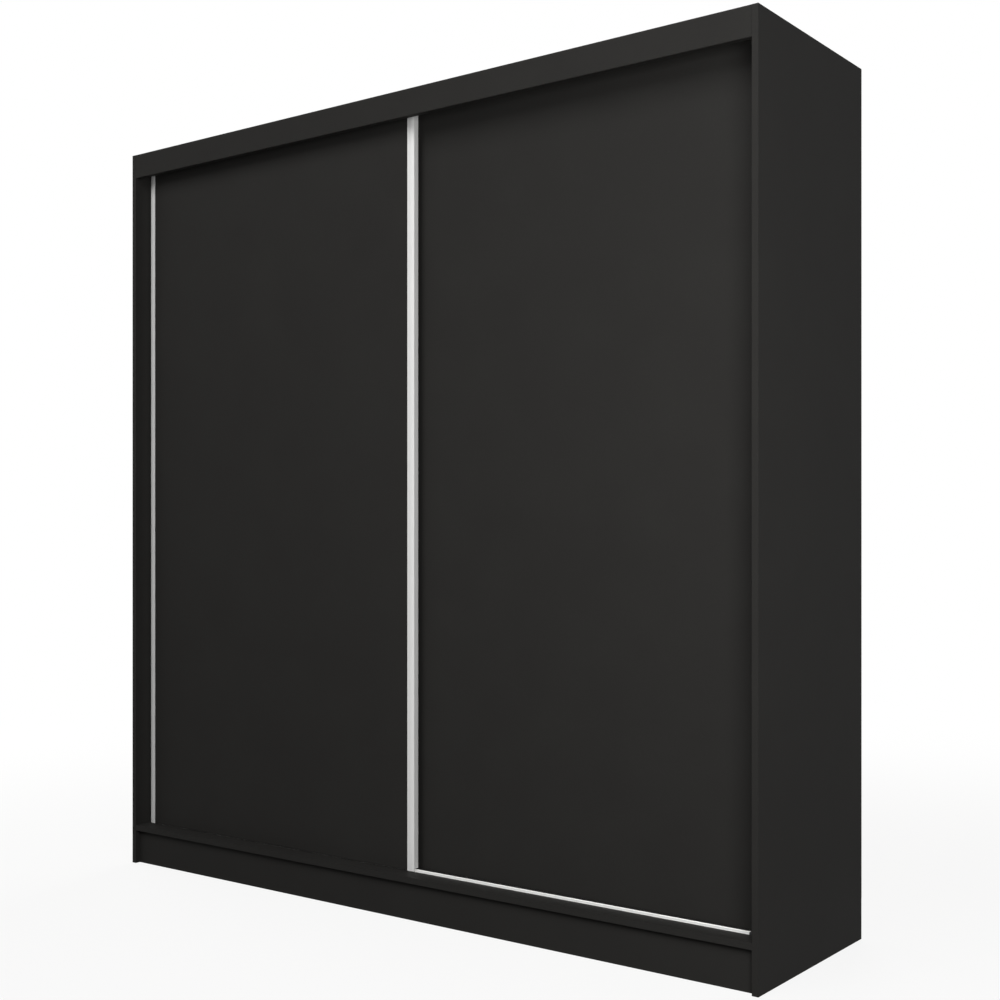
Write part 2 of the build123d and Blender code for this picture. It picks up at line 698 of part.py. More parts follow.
def door(name, left, face):
    """One door with its profiles, rollers and guides; left is its left edge, face its front plane."""
    right = left + door_width
    fitting_places = (left + wheel_inset, right - wheel_inset)
    half = fitting_width / 2
    pocket_front = face + panel_front + housing_skin
    panel_rear = face + panel_back
    housing_top = rebate_top + housing_height
    axles = facing([(x, face + axle_start, axle_height) for x in fitting_places], (0, 1, 0))
    screw_x = [x + way * fitting_screw_pitch / 2 for x in fitting_places for way in (-1, 1)]
    flange_back = panel_rear + flange_thickness
    plate_back = panel_rear + guide_plate
    housing_screw_z = housing_top + flange_rise / 2
    guide_screw_z = door_top - guide_plate_height / 2
    housing_screws = facing([(x, flange_back, housing_screw_z) for x in screw_x], (0, -1, 0))
    guide_screws = facing([(x, plate_back, guide_screw_z) for x in screw_x], (0, -1, 0))

    with BuildPart() as panel:
        block(
            (left + profile_chamber + panel_fit, face + panel_front, door_bottom),
            (right - profile_chamber - panel_fit, panel_rear, door_top),
        )
        rebate(left, right, face)
        for x in fitting_places:
            reach = half + housing_fit
            pocket_low = (x - reach, pocket_front, door_bottom)
            pocket_high = (x + reach, panel_rear, housing_top + housing_fit)
            block(pocket_low, pocket_high, Mode.SUBTRACT)
        screw_holes(housing_screws, flange_thickness)
        screw_holes(guide_screws, guide_plate)
    save(panel.part, f"{name}_panel")

    grip_profile(f"{name}_profile_left", left, -1, face)
    grip_profile(f"{name}_profile_right", right, 1, face)

    with BuildPart() as housings:
        for x in fitting_places:
            block((x - half, pocket_front + housing_fit, rebate_top), (x + half, panel_rear, housing_top))
            block((x - half, panel_rear, rebate_top), (x + half, flange_back, housing_top + flange_rise))
            slot_reach = wheel_radius + wheel_slot
            slot_half = wheel_width / 2 + wheel_side_gap
            block(
                (x - slot_reach, face + wheel_plane - slot_half, rebate_top - cut_past),
                (x + slot_reach, face + wheel_plane + slot_half, axle_height + slot_reach),
                Mode.SUBTRACT,
            )
        drill(axles, axle_radius, axle_length)
        screw_holes(housing_screws, flange_thickness)
    save(housings.part, f"{name}_roller_housings")

    with BuildPart() as axle_pair:
        round_bars(axles, axle_radius, axle_length)
    save(axle_pair.part, f"{name}_wheel_axles")

    for end, x in zip(("left", "right"), fitting_places):
        wheel(f"{name}_wheel_{end}", x, face)

    with BuildPart() as guides:
        for x in fitting_places:
            tongue_front = face + rail_from_door + guide_fit
            tongue_back = face + rail_from_door + rail_width - guide_fit
            tongue_top = track_plate_bottom - guide_tongue_gap
            arm_top = door_top + guide_arm
            block((x - half, panel_rear, door_top - guide_plate_height), (x + half, plate_back, arm_top))
            block((x - half, tongue_front, door_top), (x + half, plate_back, arm_top))
            block((x - half, tongue_front, door_top), (x + half, tongue_back, tongue_top))
        screw_holes(guide_screws, guide_plate)
    save(guides.part, f"{name}_top_guides")

    with BuildPart() as fitting_screws:
        screws(housing_screws, flange_thickness)
        screws(guide_screws, guide_plate)
    save(fitting_screws.part, f"{name}_fitting_screws")


door("left_door", left_door_edge, front_door)
door("right_door", right_door_edge, rear_door)
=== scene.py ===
# %% [markdown]
# # A black wardrobe with two sliding doors
# The cabinet is flat-pack furniture: melamine-faced boards, aluminium grip profiles on the doors'
# edges, and steel, zinc and plastic fittings. Its main shapes and its joints come ready made from
# the CAD model, so this lesson is about four other things: where the camera stands, how a black
# object is lit, how each finish is built from nodes, and how screws, locks, pins and wheels get the
# detail that plain solids lack.
#
# Everything is in metres: +X to the right, +Y to the back, +Z up, and the floor is at z = 0.

# %% Load the parts
import json
import math

import bmesh
import bpy
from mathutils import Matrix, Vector


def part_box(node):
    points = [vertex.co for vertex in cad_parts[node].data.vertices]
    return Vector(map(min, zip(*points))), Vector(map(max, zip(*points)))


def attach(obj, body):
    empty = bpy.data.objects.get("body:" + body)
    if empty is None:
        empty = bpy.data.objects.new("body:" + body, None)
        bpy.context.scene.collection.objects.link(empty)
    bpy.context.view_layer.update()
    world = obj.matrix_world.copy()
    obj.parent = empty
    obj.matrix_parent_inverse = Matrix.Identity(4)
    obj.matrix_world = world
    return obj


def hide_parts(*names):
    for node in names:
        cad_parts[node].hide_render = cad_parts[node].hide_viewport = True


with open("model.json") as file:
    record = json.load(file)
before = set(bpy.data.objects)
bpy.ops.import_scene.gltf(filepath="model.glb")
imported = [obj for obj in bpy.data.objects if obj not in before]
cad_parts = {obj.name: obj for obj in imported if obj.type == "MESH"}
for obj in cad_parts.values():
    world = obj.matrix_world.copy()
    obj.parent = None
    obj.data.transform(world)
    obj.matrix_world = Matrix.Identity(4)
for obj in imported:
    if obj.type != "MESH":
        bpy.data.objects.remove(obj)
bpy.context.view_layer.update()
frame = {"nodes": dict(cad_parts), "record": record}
parts = frame["nodes"]
mm = 0.001                       # small sizes are written in millimetres and multiplied by this

# %% [markdown]
# ## Camera
# A tall cabinet is pictured from a little to its right, from about half its height, with the camera
# held level. A level camera keeps upright edges upright; the frame is then shifted a little instead
# of tilting the camera, as an architect's shift lens does.

# %% Camera
view_azimuth = math.radians(37.0)
eye = (2.464, -3.084, 1.0075)
lens_mm = 51.49
rise = 0.0313                    # upward shift, as a share of the picture's width

camera = bpy.data.objects.new("camera", bpy.data.cameras.new("camera"))
camera.data.lens = lens_mm
camera.data.sensor_width = 36.0
camera.data.shift_y = rise
camera.location = eye
camera.rotation_euler = (math.radians(90.0), 0.0, view_azimuth)
bpy.context.scene.collection.objects.link(camera)
bpy.context.scene.camera = camera
bpy.context.scene.view_settings.view_transform = "Standard"
print("camera at", eye, "with a", lens_mm, "mm lens")

# %% [markdown]
# ## Two helpers for materials
# Colours are chosen as sRGB hex values, the way a picture editor shows them, but shaders work with
# linear light. One function converts them. A second one adds a node, sets it and wires it, so that
# a material reads as a list of what it is made of.

# %% Helpers for colours and nodes
def linear(hex_code):
    """A colour such as "2b2a28" as the linear RGBA that shaders use."""
    values = [int(hex_code[i:i + 2], 16) / 255 for i in (0, 2, 4)]
    return [v / 12.92 if v <= 0.04045 else ((v + 0.055) / 1.055) ** 2.4 for v in values] + [1.0]


def add(tree, kind, inputs=None, **settings):
    """Add a node, set its own settings, then fill its inputs with values or with other sockets."""
    node = tree.nodes.new("ShaderNode" + kind)
    for name, value in settings.items():
        setattr(node, name, value)
    for name, value in (inputs or {}).items():
        if isinstance(value, bpy.types.NodeSocket):
            tree.links.new(value, node.inputs[name])
        else:
            node.inputs[name].default_value = value
    return node


print("linear value of mid grey:", round(linear("808080")[0], 3))

# %% [markdown]
# ## White surroundings that don't flood a black object
# A black cabinet on a white ground is mostly lit by what it mirrors. The surroundings look white to
# the camera and in reflections, but give only a soft grey light, so that black stays black.
# Light Path tells the two apart: camera, glossy and transmission rays see white, and the rays that
# carry light to matt surfaces see grey.

# %% World
ambient = 0.03                   # light from all round, where 1 is a white sky


def seen_directly(tree):
    """1 for a ray that shows a thing as it is, 0 for a ray that gathers light on a matt surface."""
    path = add(tree, "LightPath").outputs
    mirrored = add(tree, "Math", {0: path["Is Glossy Ray"], 1: path["Is Transmission Ray"]},
                   operation="MAXIMUM").outputs[0]
    shown = add(tree, "Math", {0: path["Is Camera Ray"], 1: mirrored}, operation="MAXIMUM")
    return shown.outputs[0]


world = bpy.data.worlds.new("studio")
world.use_nodes = True
bpy.context.scene.world = world
tree = world.node_tree
tree.nodes.clear()
soft_light = add(tree, "Background", {"Color": linear("ffffff"), "Strength": ambient})
white_ground = add(tree, "Background", {"Color": linear("ffffff"), "Strength": 1.0})
sky = add(tree, "MixShader", {0: seen_directly(tree), 1: soft_light.outputs[0],
                              2: white_ground.outputs[0]})
add(tree, "OutputWorld", {"Surface": sky.outputs[0]})
print("world:", ambient, "of a white sky as light")

# %% [markdown]
# ## Floor
# The floor is a plain pale sheet. Close to the cabinet a share of its own lit colour shows, and
# that share carries the cabinet's soft shadow. Further out it fades into the white surroundings,
# so that there is no line at the horizon.

# %% Floor
floor_half = 40.0
shadow_share = 0.12              # how much of the floor's own light shows near the cabinet
shadow_full = 1.2                # distances from the cabinet's middle, in metres
shadow_reach = 4.5

mesh = bpy.data.meshes.new("floor")
turns = [(-1, -1), (1, -1), (1, 1), (-1, 1)]
mesh.from_pydata([(x * floor_half, y * floor_half, 0.0) for x, y in turns], [], [(0, 1, 2, 3)])
floor = bpy.data.objects.new("floor", mesh)
bpy.context.scene.collection.objects.link(floor)

paper = bpy.data.materials.new("floor_paper")
paper.use_nodes = True
tree = paper.node_tree
tree.nodes.clear()
place = add(tree, "TexCoord").outputs["Object"]
away = add(tree, "VectorMath", {0: place}, operation="LENGTH").outputs["Value"]
near = add(tree, "MapRange", {"Value": away, "From Min": shadow_full, "From Max": shadow_reach,
                              "To Min": shadow_share, "To Max": 0.0},
           interpolation_type="SMOOTHSTEP")
lit = add(tree, "BsdfDiffuse", {"Color": linear("e6e5e3")})
white = add(tree, "Emission", {"Color": linear("ffffff"), "Strength": 1.0})
pale = add(tree, "MixShader", {0: near.outputs[0], 1: white.outputs[0], 2: lit.outputs[0]})
# The light that the floor throws back is kept grey, so that the boards near it stay black.
bounce = add(tree, "BsdfDiffuse", {"Color": linear("5a5958")})
both = add(tree, "MixShader", {0: seen_directly(tree), 1: bounce.outputs[0], 2: pale.outputs[0]})
add(tree, "OutputMaterial", {"Surface": both.outputs[0]})
mesh.materials.append(paper)
print("floor", 2 * floor_half, "m wide")

# %% [markdown]
# ## Lights
# A flat black front shows every change of light, so soft lamps share the work. A small one near the
# right corner makes the light fall off towards the left and the floor, a large one overhead softens
# the shadow below the top rail, and a weak one on the left keeps the far side readable. The last
# two are for the back and the left side, and stand where their light can't reach the fronts.

# %% Softboxes
def softbox(name, place, target, size, watts):
    """A square lamp that faces its target."""
    lamp = bpy.data.objects.new(name, bpy.data.lights.new(name, "AREA"))
    lamp.data.shape = "SQUARE"
    lamp.data.size = size
    lamp.data.energy = watts
    lamp.location = place
    lamp.rotation_euler = (Vector(target) - Vector(place)).to_track_quat("-Z", "Y").to_euler()
    bpy.context.scene.collection.objects.link(lamp)
    return lamp


lamps = [
    softbox("key_right", (2.3, -2.0, 1.4), (0.9, 0.0, 1.3), 1.2, 53.0),
    softbox("overhead", (0.0, -3.6, 4.0), (0.0, 0.0, 1.2), 2.6, 110.0),
    softbox("fill_left", (-4.2, -4.0, 2.4), (0.0, 0.0, 1.2), 2.6, 20.0),
    softbox("behind", (-1.4, 4.4, 2.3), (0.0, 0.0, 1.1), 2.6, 140.0),
    softbox("left_side", (-4.6, 0.8, 1.6), (-1.05, 0.1, 1.1), 2.6, 95.0),
]
print(len(lamps), "softboxes,", sum(lamp.data.energy for lamp in lamps), "W together")

# %% [markdown]
# ## Melamine-faced board
# The boards are chipboard with a black decor paper soaked in melamine resin and pressed under a
# plate with a pearl texture. The resin gives a hard, even, semi-matt skin; the plate leaves shallow
# rounded pits. Where a hole or a pocket is milled into the board, the brown chips show.
# The skin is only on the outside of each board, so a point further inside the board's own box than
# the skin is thick shows the core. The narrow edges wear a band of smooth ABS, 1 mm thick, and the
# seam where it meets the paper shows as a fine dark line. Both come from distances to the faces of
# the board's own box, which needs no picture and no unwrapping.

# %% Starting a material
def start(name, constants):
    """A new material with its constants set on the shader itself."""
    material = bpy.data.materials.new(name)
    material.use_nodes = True
    shader = material.node_tree.nodes["Principled BSDF"]
    for socket, value in constants.items():
        shader.inputs[socket].default_value = value
    return material, material.node_tree, shader


def wire(tree, shader, wiring):
    """Connect sockets to the shader's inputs."""
    for name, socket in wiring.items():
        tree.links.new(socket, shader.inputs[name])


print("two helpers, to start a material and to wire it")

# %% Distances below a board's faces
def below_faces(tree, place, low, high):
    """How far a point is below the nearer face of the box from low to high, along each axis."""
    from_low = add(tree, "VectorMath", {0: place, 1: low}, operation="SUBTRACT").outputs[0]
    from_high = add(tree, "VectorMath", {0: high, 1: place}, operation="SUBTRACT").outputs[0]
    nearest = add(tree, "VectorMath", {0: from_low, 1: from_high}, operation="MINIMUM").outputs[0]
    return add(tree, "SeparateXYZ", {0: nearest}).outputs


def least(tree, sockets):
    """The least of several values."""
    value = sockets[0]
    for other in sockets[1:]:
        value = add(tree, "Math", {0: value, 1: other}, operation="MINIMUM").outputs[0]
    return value


print("distances below a board's faces")

# %% Sizes of a board's details
skin = 0.8 * mm
band = 1.0 * mm
# The seam of the edge band is 0.1 mm wide, and drawn at 0.4 mm so that it shows.
seam_half = 0.2 * mm
# The pits are about 0.6 mm across on a real board, and drawn at 1.5 mm so that they show.
pit = 1.5 * mm
fine_speck = 4.0 * mm
clouds_per_metre = 7.0           # each cloud of paler black is about 140 mm wide
chip = 2.0 * mm
print("a board's skin is", skin / mm, "mm and its edge band", band / mm, "mm")

# %% Colour of a board
def board_colour(tree, place, speck, seam, inside):
    """The decor paper, the darker line of the seam, and in holes the chips and their glue."""
    cloud = add(tree, "TexNoise", {"Vector": place, "Scale": clouds_per_metre, "Detail": 3.0})
    shade = add(tree, "Math", {0: cloud.outputs["Fac"], 1: speck}, operation="MULTIPLY")
    black = add(tree, "MixRGB", {"Fac": shade.outputs[0], "Color1": linear("2a2928"),
                                 "Color2": linear("31312f")})
    lined = add(tree, "MixRGB", {"Fac": seam, "Color1": black.outputs[0],
                                 "Color2": linear("1a1918")})
    # The chips get random colours, which are toned down to pale wood and then to brown glue.
    chips = add(tree, "TexVoronoi", {"Vector": place, "Scale": 1 / chip})
    wood = add(tree, "MixRGB", {"Fac": 0.35, "Color1": chips.outputs["Color"],
                                "Color2": linear("b48a5a")})
    core = add(tree, "MixRGB", {"Fac": 0.7, "Color1": wood.outputs[0], "Color2": linear("9c7447")})
    colour = add(tree, "MixRGB", {"Fac": inside, "Color1": lined.outputs[0],
                                  "Color2": core.outputs[0]})
    return colour.outputs[0]


print("black paper over chips of", chip / mm, "mm")

# %% Gloss and texture of a board
smoothest_face, roughest_face = 0.46, 0.58
band_roughness = 0.42
core_roughness = 0.9


def board_gloss(tree, speck, on_face, inside):
    """The pearl texture on the faces, the smoother band on the edges, and the raw core."""
    pearl = add(tree, "MapRange", {"Value": speck, "To Min": smoothest_face,
                                   "To Max": roughest_face})
    gloss = add(tree, "MixRGB", {"Fac": on_face, "Color1": [band_roughness] * 3 + [1.0],
                                 "Color2": pearl.outputs[0]})
    rough = add(tree, "MixRGB", {"Fac": inside, "Color1": gloss.outputs[0],
                                 "Color2": [core_roughness] * 3 + [1.0]})
    return rough.outputs[0]


def board_relief(tree, place, on_face):
    """The shallow pits of the pressing plate, which only the faces have."""
    pits = add(tree, "TexVoronoi", {"Vector": place, "Scale": 1 / pit, "Smoothness": 0.6},
               feature="SMOOTH_F1")
    pitted = add(tree, "Math", {0: pits.outputs["Distance"], 1: on_face}, operation="MULTIPLY")
    relief = add(tree, "Bump", {"Height": pitted.outputs[0], "Strength": 0.12,
                                "Distance": 0.2 * mm})
    return relief.outputs[0]


print("pits of", pit / mm, "mm")

# %% Board
def melamine_board(name, low, high):
    """Black melamine-faced chipboard that fills the box from low to high."""
    material, tree, shader = start(name, {"IOR": 1.5, "Specular IOR Level": 0.02})
    place = add(tree, "TexCoord").outputs["Object"]
    grain = add(tree, "TexNoise", {"Vector": place, "Scale": 1 / fine_speck, "Detail": 2.0})
    speck = grain.outputs["Fac"]
    axes = below_faces(tree, place, low, high)
    depth = least(tree, [axes["X"], axes["Y"], axes["Z"]])
    inside = add(tree, "Math", {0: depth, 1: skin}, operation="GREATER_THAN").outputs[0]
    # The faces look along the board's thin side, and the edges along the two others.
    thin = min(range(3), key=lambda axis: high[axis] - low[axis])
    from_edge = least(tree, [axes["XYZ"[axis]] for axis in range(3) if axis != thin])
    on_face = add(tree, "Math", {0: from_edge, 1: band}, operation="GREATER_THAN").outputs[0]
    seam = add(tree, "Math", {0: from_edge, 1: band, 2: seam_half}, operation="COMPARE").outputs[0]
    wire(tree, shader, {"Base Color": board_colour(tree, place, speck, seam, inside),
                        "Roughness": board_gloss(tree, speck, on_face, inside),
                        "Normal": board_relief(tree, place, on_face)})
    return material


print("a function for boards, one material for each")

# %% Dress the boards
slot_of = {part["node"]: part["material_slot"] for part in frame["record"]["subparts"]}
boards = [name for name, slot in slot_of.items() if slot in ("carcass_board", "door_board")]
for name in boards:
    parts[name].data.materials.clear()
    parts[name].data.materials.append(melamine_board("melamine_" + name, *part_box(name)))
print(len(boards), "boards")

# %% [markdown]
# ## Anodised aluminium
# The grip profiles, the rails and the top track are extruded, etched matt and then anodised: the
# oxide is clear, but the etched skin below it scatters light almost as pale paint does, so it stays
# bright from every side. The rails and the track also have a silver lacquer over it. That is why
# Metallic is well below 1 and the roughness is high. The die leaves fine lines along the length,
# drawn as noise that is stretched along the extrusion, in the roughness and in a faint bump.

# %% Anodised aluminium
# Die lines are about 0.2 mm apart, and drawn at 0.8 mm so that they show.
die_line = 0.8 * mm
line_length = 200.0 * mm


def extruded(name, along, metallic, dull, bright):
    """Extruded aluminium with a satin skin; along is the number of the extrusion's axis."""
    material, tree, shader = start(name, {"Metallic": metallic})
    scale = [1 / die_line] * 3
    scale[along] = 1 / line_length
    place = add(tree, "Mapping", {"Vector": add(tree, "TexCoord").outputs["Object"],
                                  "Scale": scale})
    lines = add(tree, "TexNoise", {"Vector": place.outputs[0], "Scale": 1.0, "Detail": 3.0,
                                   "Roughness": 0.6})
    metal = add(tree, "MixRGB", {"Fac": lines.outputs["Fac"], "Color1": linear(dull),
                                 "Color2": linear(bright)})
    satin = add(tree, "MapRange", {"Value": lines.outputs["Fac"], "To Min": 0.66, "To Max": 0.82})
    relief = add(tree, "Bump", {"Height": lines.outputs["Fac"], "Strength": 0.08,
                                "Distance": 0.2 * mm})
    wire(tree, shader, {"Base Color": metal.outputs[0], "Roughness": satin.outputs[0],
                        "Normal": relief.outputs[0]})
    return material


finishes = {}
finishes["aluminium"] = extruded("silver_lacquered_aluminium", 0, 0.60, "ebebe9", "f5f5f3")
upright_aluminium = extruded("anodised_aluminium", 2, 0.22, "d4d4d3", "e1e1df")
print("anodised aluminium along X and along Z")

# %% [markdown]
# ## Hardboard
# The back is 3 mm hardboard: wet wood fibre pressed on a wire screen. Its smooth face is lacquered
# black and shows inside the cabinet. Its rough side faces the wall, raw brown, with the print of
# the screen. The print could be modelled, at the cost of a great many faces. Two wave textures that
# cross in a bump look the same from the distance at which anyone sees a back.

# %% Hardboard
# The screen's wires are about 1.2 mm apart, and drawn at 3 mm so that they show.
wire_pitch = 3.0 * mm
# A wave texture at scale 1 has 20 radians to the metre.
wave_scale = math.tau / 20 / wire_pitch
fibre_clump = 6.0 * mm
stains_per_metre = 3.0           # each stain is about 330 mm wide


def hardboard(name):
    """Hardboard that is lacquered on its front and raw on its back."""
    material, tree, shader = start(name, {"IOR": 1.5, "Specular IOR Level": 0.3})
    place = add(tree, "TexCoord").outputs["Object"]
    # Only what looks forwards is lacquered: the normal there points along -Y.
    facing = add(tree, "SeparateXYZ", {0: add(tree, "TexCoord").outputs["Normal"]}).outputs["Y"]
    raw = add(tree, "Math", {0: facing, 1: -0.5}, operation="GREATER_THAN").outputs[0]
    fibre = add(tree, "TexNoise", {"Vector": place, "Scale": 1 / fibre_clump, "Detail": 6.0,
                                   "Roughness": 0.7})
    stain = add(tree, "TexNoise", {"Vector": place, "Scale": stains_per_metre, "Detail": 3.0})
    brown = add(tree, "MixRGB", {"Fac": fibre.outputs["Fac"], "Color1": linear("5a3d26"),
                                 "Color2": linear("8a6440")})
    worn = add(tree, "MixRGB", {"Fac": stain.outputs["Fac"], "Color1": brown.outputs[0],
                                "Color2": linear("6e4c2f")})
    colour = add(tree, "MixRGB", {"Fac": raw, "Color1": linear("242322"),
                                  "Color2": worn.outputs[0]})
    rough = add(tree, "MapRange", {"Value": raw, "To Min": 0.45, "To Max": 0.85}).outputs[0]
    waves = [add(tree, "TexWave", {"Vector": place, "Scale": wave_scale, "Distortion": 0.3},
                 bands_direction=way).outputs["Fac"] for way in "XZ"]
    screen = add(tree, "Math", {0: waves[0], 1: waves[1]}, operation="MAXIMUM").outputs[0]
    print_depth = add(tree, "Math", {0: screen, 1: raw}, operation="MULTIPLY").outputs[0]
    relief = add(tree, "Bump", {"Height": print_depth, "Strength": 0.35, "Distance": 0.5 * mm})
    wire(tree, shader, {"Base Color": colour.outputs[0], "Roughness": rough,
                        "Normal": relief.outputs[0]})
    return material


finishes["hardboard"] = hardboard("hardboard_raw_and_lacquered")
print("hardboard with the print of a screen of", wire_pitch / mm, "mm")

# %% [markdown]
# ## Metals of the fittings
# Screws, nails and brackets are steel with a bright zinc plate, the cams are die-cast zinc and the
# hanging tube is chromed. They differ in how even the surface is: plating keeps the drawn or
# stamped surface, casting leaves a cloudy one, and chrome is polished first. So one function makes
# all three, and takes the size of the patches and the range of the gloss.

# %% Metals
def plated_metal(name, dark, light, grain, roughest, smoothest):
    """A bare metal whose colour and gloss vary in patches of the given size."""
    material, tree, shader = start(name, {"Metallic": 1.0})
    place = add(tree, "TexCoord").outputs["Object"]
    patches = add(tree, "TexNoise", {"Vector": place, "Scale": 1 / grain, "Detail": 4.0,
                                     "Roughness": 0.6})
    colour = add(tree, "MixRGB", {"Fac": patches.outputs["Fac"], "Color1": linear(dark),
                                  "Color2": linear(light)})
    gloss = add(tree, "MapRange", {"Value": patches.outputs["Fac"], "To Min": smoothest,
                                   "To Max": roughest})
    relief = add(tree, "Bump", {"Height": patches.outputs["Fac"], "Strength": 0.05,
                                "Distance": 0.2 * mm})
    wire(tree, shader, {"Base Color": colour.outputs[0], "Roughness": gloss.outputs[0],
                        "Normal": relief.outputs[0]})
    return material


metals = {
    "zinc_steel": ("zinc_plated_steel", "a9acb0", "cfd2d6", 4.0 * mm, 0.42, 0.24),
    "cam_zinc": ("die_cast_zinc", "8e8f90", "b4b5b5", 2.0 * mm, 0.55, 0.38),
    "chrome": ("chrome_plate", "d6d9dc", "e6e8ea", 30.0 * mm, 0.09, 0.04),
}
for slot, looks in metals.items():
    finishes[slot] = plated_metal(*looks)
print("metals:", ", ".join(looks[0] for looks in metals.values()))

# %% [markdown]
# ## Plastics, rubber and beech
# The housings, guides and rail ends are moulded ABS with a fine spark-eroded grain, the wheels are
# white acetal, and the stops are soft rubber. All three take their surface from a mould, so one
# function makes them. The dowels are beech, which has short dark flecks along its grain.

# %% Plastics
gloss_swing = 0.08               # how far the roughness goes up and down with the grain


def moulded(name, colour, other, grain, roughness, depth, ior):
    """A moulded plastic or rubber with the grain of its mould."""
    material, tree, shader = start(name, {"IOR": ior})
    place = add(tree, "TexCoord").outputs["Object"]
    texture = add(tree, "TexNoise", {"Vector": place, "Scale": 1 / grain, "Detail": 3.0})
    body = add(tree, "MixRGB", {"Fac": texture.outputs["Fac"], "Color1": linear(colour),
                                "Color2": linear(other)})
    gloss = add(tree, "MapRange", {"Value": texture.outputs["Fac"],
                                   "To Min": roughness - gloss_swing,
                                   "To Max": roughness + gloss_swing})
    relief = add(tree, "Bump", {"Height": texture.outputs["Fac"], "Strength": depth,
                                "Distance": 0.2 * mm})
    wire(tree, shader, {"Base Color": body.outputs[0], "Roughness": gloss.outputs[0],
                        "Normal": relief.outputs[0]})
    return material


plastics = {
    "black_plastic": ("moulded_abs_black", "1b1b1c", "242425", 0.8 * mm, 0.50, 0.3, 1.54),
    "white_nylon": ("acetal_white", "dddbd3", "e8e6df", 3.0 * mm, 0.35, 0.1, 1.48),
    "soft_rubber": ("rubber_grey", "3a3a3a", "444443", 1.0 * mm, 0.80, 0.3, 1.52),
}
for slot, looks in plastics.items():
    finishes[slot] = moulded(*looks)
print("plastics:", ", ".join(looks[0] for looks in plastics.values()))

# %% Beech
# The flecks are about 1.1 mm thick and 17 mm long. They lie along the dowels, which all point to
# the sides.
flecks_per_metre = (60, 900, 900)


def beech(name):
    """Planed beech with its short dark flecks."""
    material, tree, shader = start(name, {"IOR": 1.5, "Specular IOR Level": 0.3})
    place = add(tree, "Mapping", {"Vector": add(tree, "TexCoord").outputs["Object"],
                                  "Scale": flecks_per_metre})
    flecks = add(tree, "TexNoise", {"Vector": place.outputs[0], "Scale": 1.0, "Detail": 3.0})
    colour = add(tree, "MixRGB", {"Fac": flecks.outputs["Fac"], "Color1": linear("b98a58"),
                                  "Color2": linear("ddb787")})
    gloss = add(tree, "MapRange", {"Value": flecks.outputs["Fac"], "To Min": 0.5, "To Max": 0.65})
    wire(tree, shader, {"Base Color": colour.outputs[0], "Roughness": gloss.outputs[0]})
    return material


finishes["beech"] = beech("planed_beech")
print("beech")

# %% [markdown]
# ## Dress the parts
# The record of the CAD model says which material each part has. The profiles stand upright, so
# they take the aluminium whose die lines run along Z.

# %% Dress the parts
for name, slot in slot_of.items():
    if name in boards:
        continue
    finish = upright_aluminium if "_profile_" in name else finishes[slot]
    parts[name].data.materials.clear()
    parts[name].data.materials.append(finish)
print("all", len(slot_of), "parts dressed")

# %% [markdown]
# ## Where the small pieces sit
# The CAD model has the screws, nails, cams, pins and wheels as plain solids, many in one part. Seen
# close up they are known by their details, so each is made again at its own place. The places come
# from the mesh itself: every connected group of points is one solid, and its wider end is its head.

# %% Read the solids
same_point = 1e-6                # points nearer than this, in metres, are one point
same_length = 1e-5               # lengths nearer than this, in metres, count as equal


def solids_of(name):
    """The points of each separate solid in a CAD part."""
    bm = bmesh.new()
    bm.from_mesh(parts[name].data)
    bmesh.ops.remove_doubles(bm, verts=bm.verts, dist=same_point)
    waiting, groups = set(bm.verts), []
    while waiting:
        reached, points = [waiting.pop()], []
        while reached:
            vert = reached.pop()
            points.append(vert.co.copy())
            beside = {edge.other_vert(vert) for edge in vert.link_edges} & waiting
            waiting -= beside
            reached.extend(beside)
        groups.append(sorted(points, key=tuple))
    bm.free()
    return sorted(groups, key=lambda points: tuple(points[0]))


print(len(solids_of("dowels")), "dowels in one part")

# %% Read the seats
def seats_of(name):
    """The mouth, the direction away from it and the length of each solid's seat.

    The mouth is at the wider end, or at the high end where both are as wide.
    """
    seats = []
    for points in solids_of(name):
        low = Vector(min(point[axis] for point in points) for axis in range(3))
        high = Vector(max(point[axis] for point in points) for axis in range(3))
        sizes = high - low
        along = max(range(3), key=lambda axis: abs(sizes[axis] - sorted(sizes)[1]))
        middle = (low + high) / 2
        reach = []
        for end in (low, high):
            at_end = [point for point in points if abs(point[along] - end[along]) < same_length]
            reach.append(max((point - middle).length for point in at_end))
        head, tip = (low, high) if reach[0] > reach[1] + same_length else (high, low)
        mouth = middle.copy()
        mouth[along] = head[along]
        into = Vector((0.0, 0.0, 0.0))
        into[along] = math.copysign(1.0, tip[along] - head[along])
        seats.append((mouth, into, sizes[along]))
    return seats


def flipped(seat):
    """The same seat with its mouth at the other end."""
    mouth, into, length = seat
    return mouth + into * length, -into, length


def from_outside(seat):
    """The same seat with its mouth at the end nearer the side of the cabinet."""
    mouth, into, _ = seat
    return flipped(seat) if into.x * mouth.x > 0 else seat


print(len(seats_of("back_nails")), "nails,", len(seats_of("shelf_pins")), "shelf pins")

# %% [markdown]
# ## Lofted pieces
# Screws, cams, nails and dowels are shapes that change along one axis. A lathe makes only the round
# ones, and cutting recesses with booleans leaves untidy faces. A loft does them all: a row of rings
# with the same number of points, joined by faces. A ring doesn't have to be round. With 24 points,
# every 15 degrees, it can be a circle, the cross of a screwdriver slot or a hexagon socket.

# %% Rings
ring_points = 24
step_angle = math.tau / ring_points
angles = [step_angle * k for k in range(ring_points)]


def cos_sin(angle):
    """The cosine and sine of an angle, both without a sign and never quite 0."""
    almost_nothing = 1e-6
    return (max(abs(value), almost_nothing) for value in (math.cos(angle), math.sin(angle)))


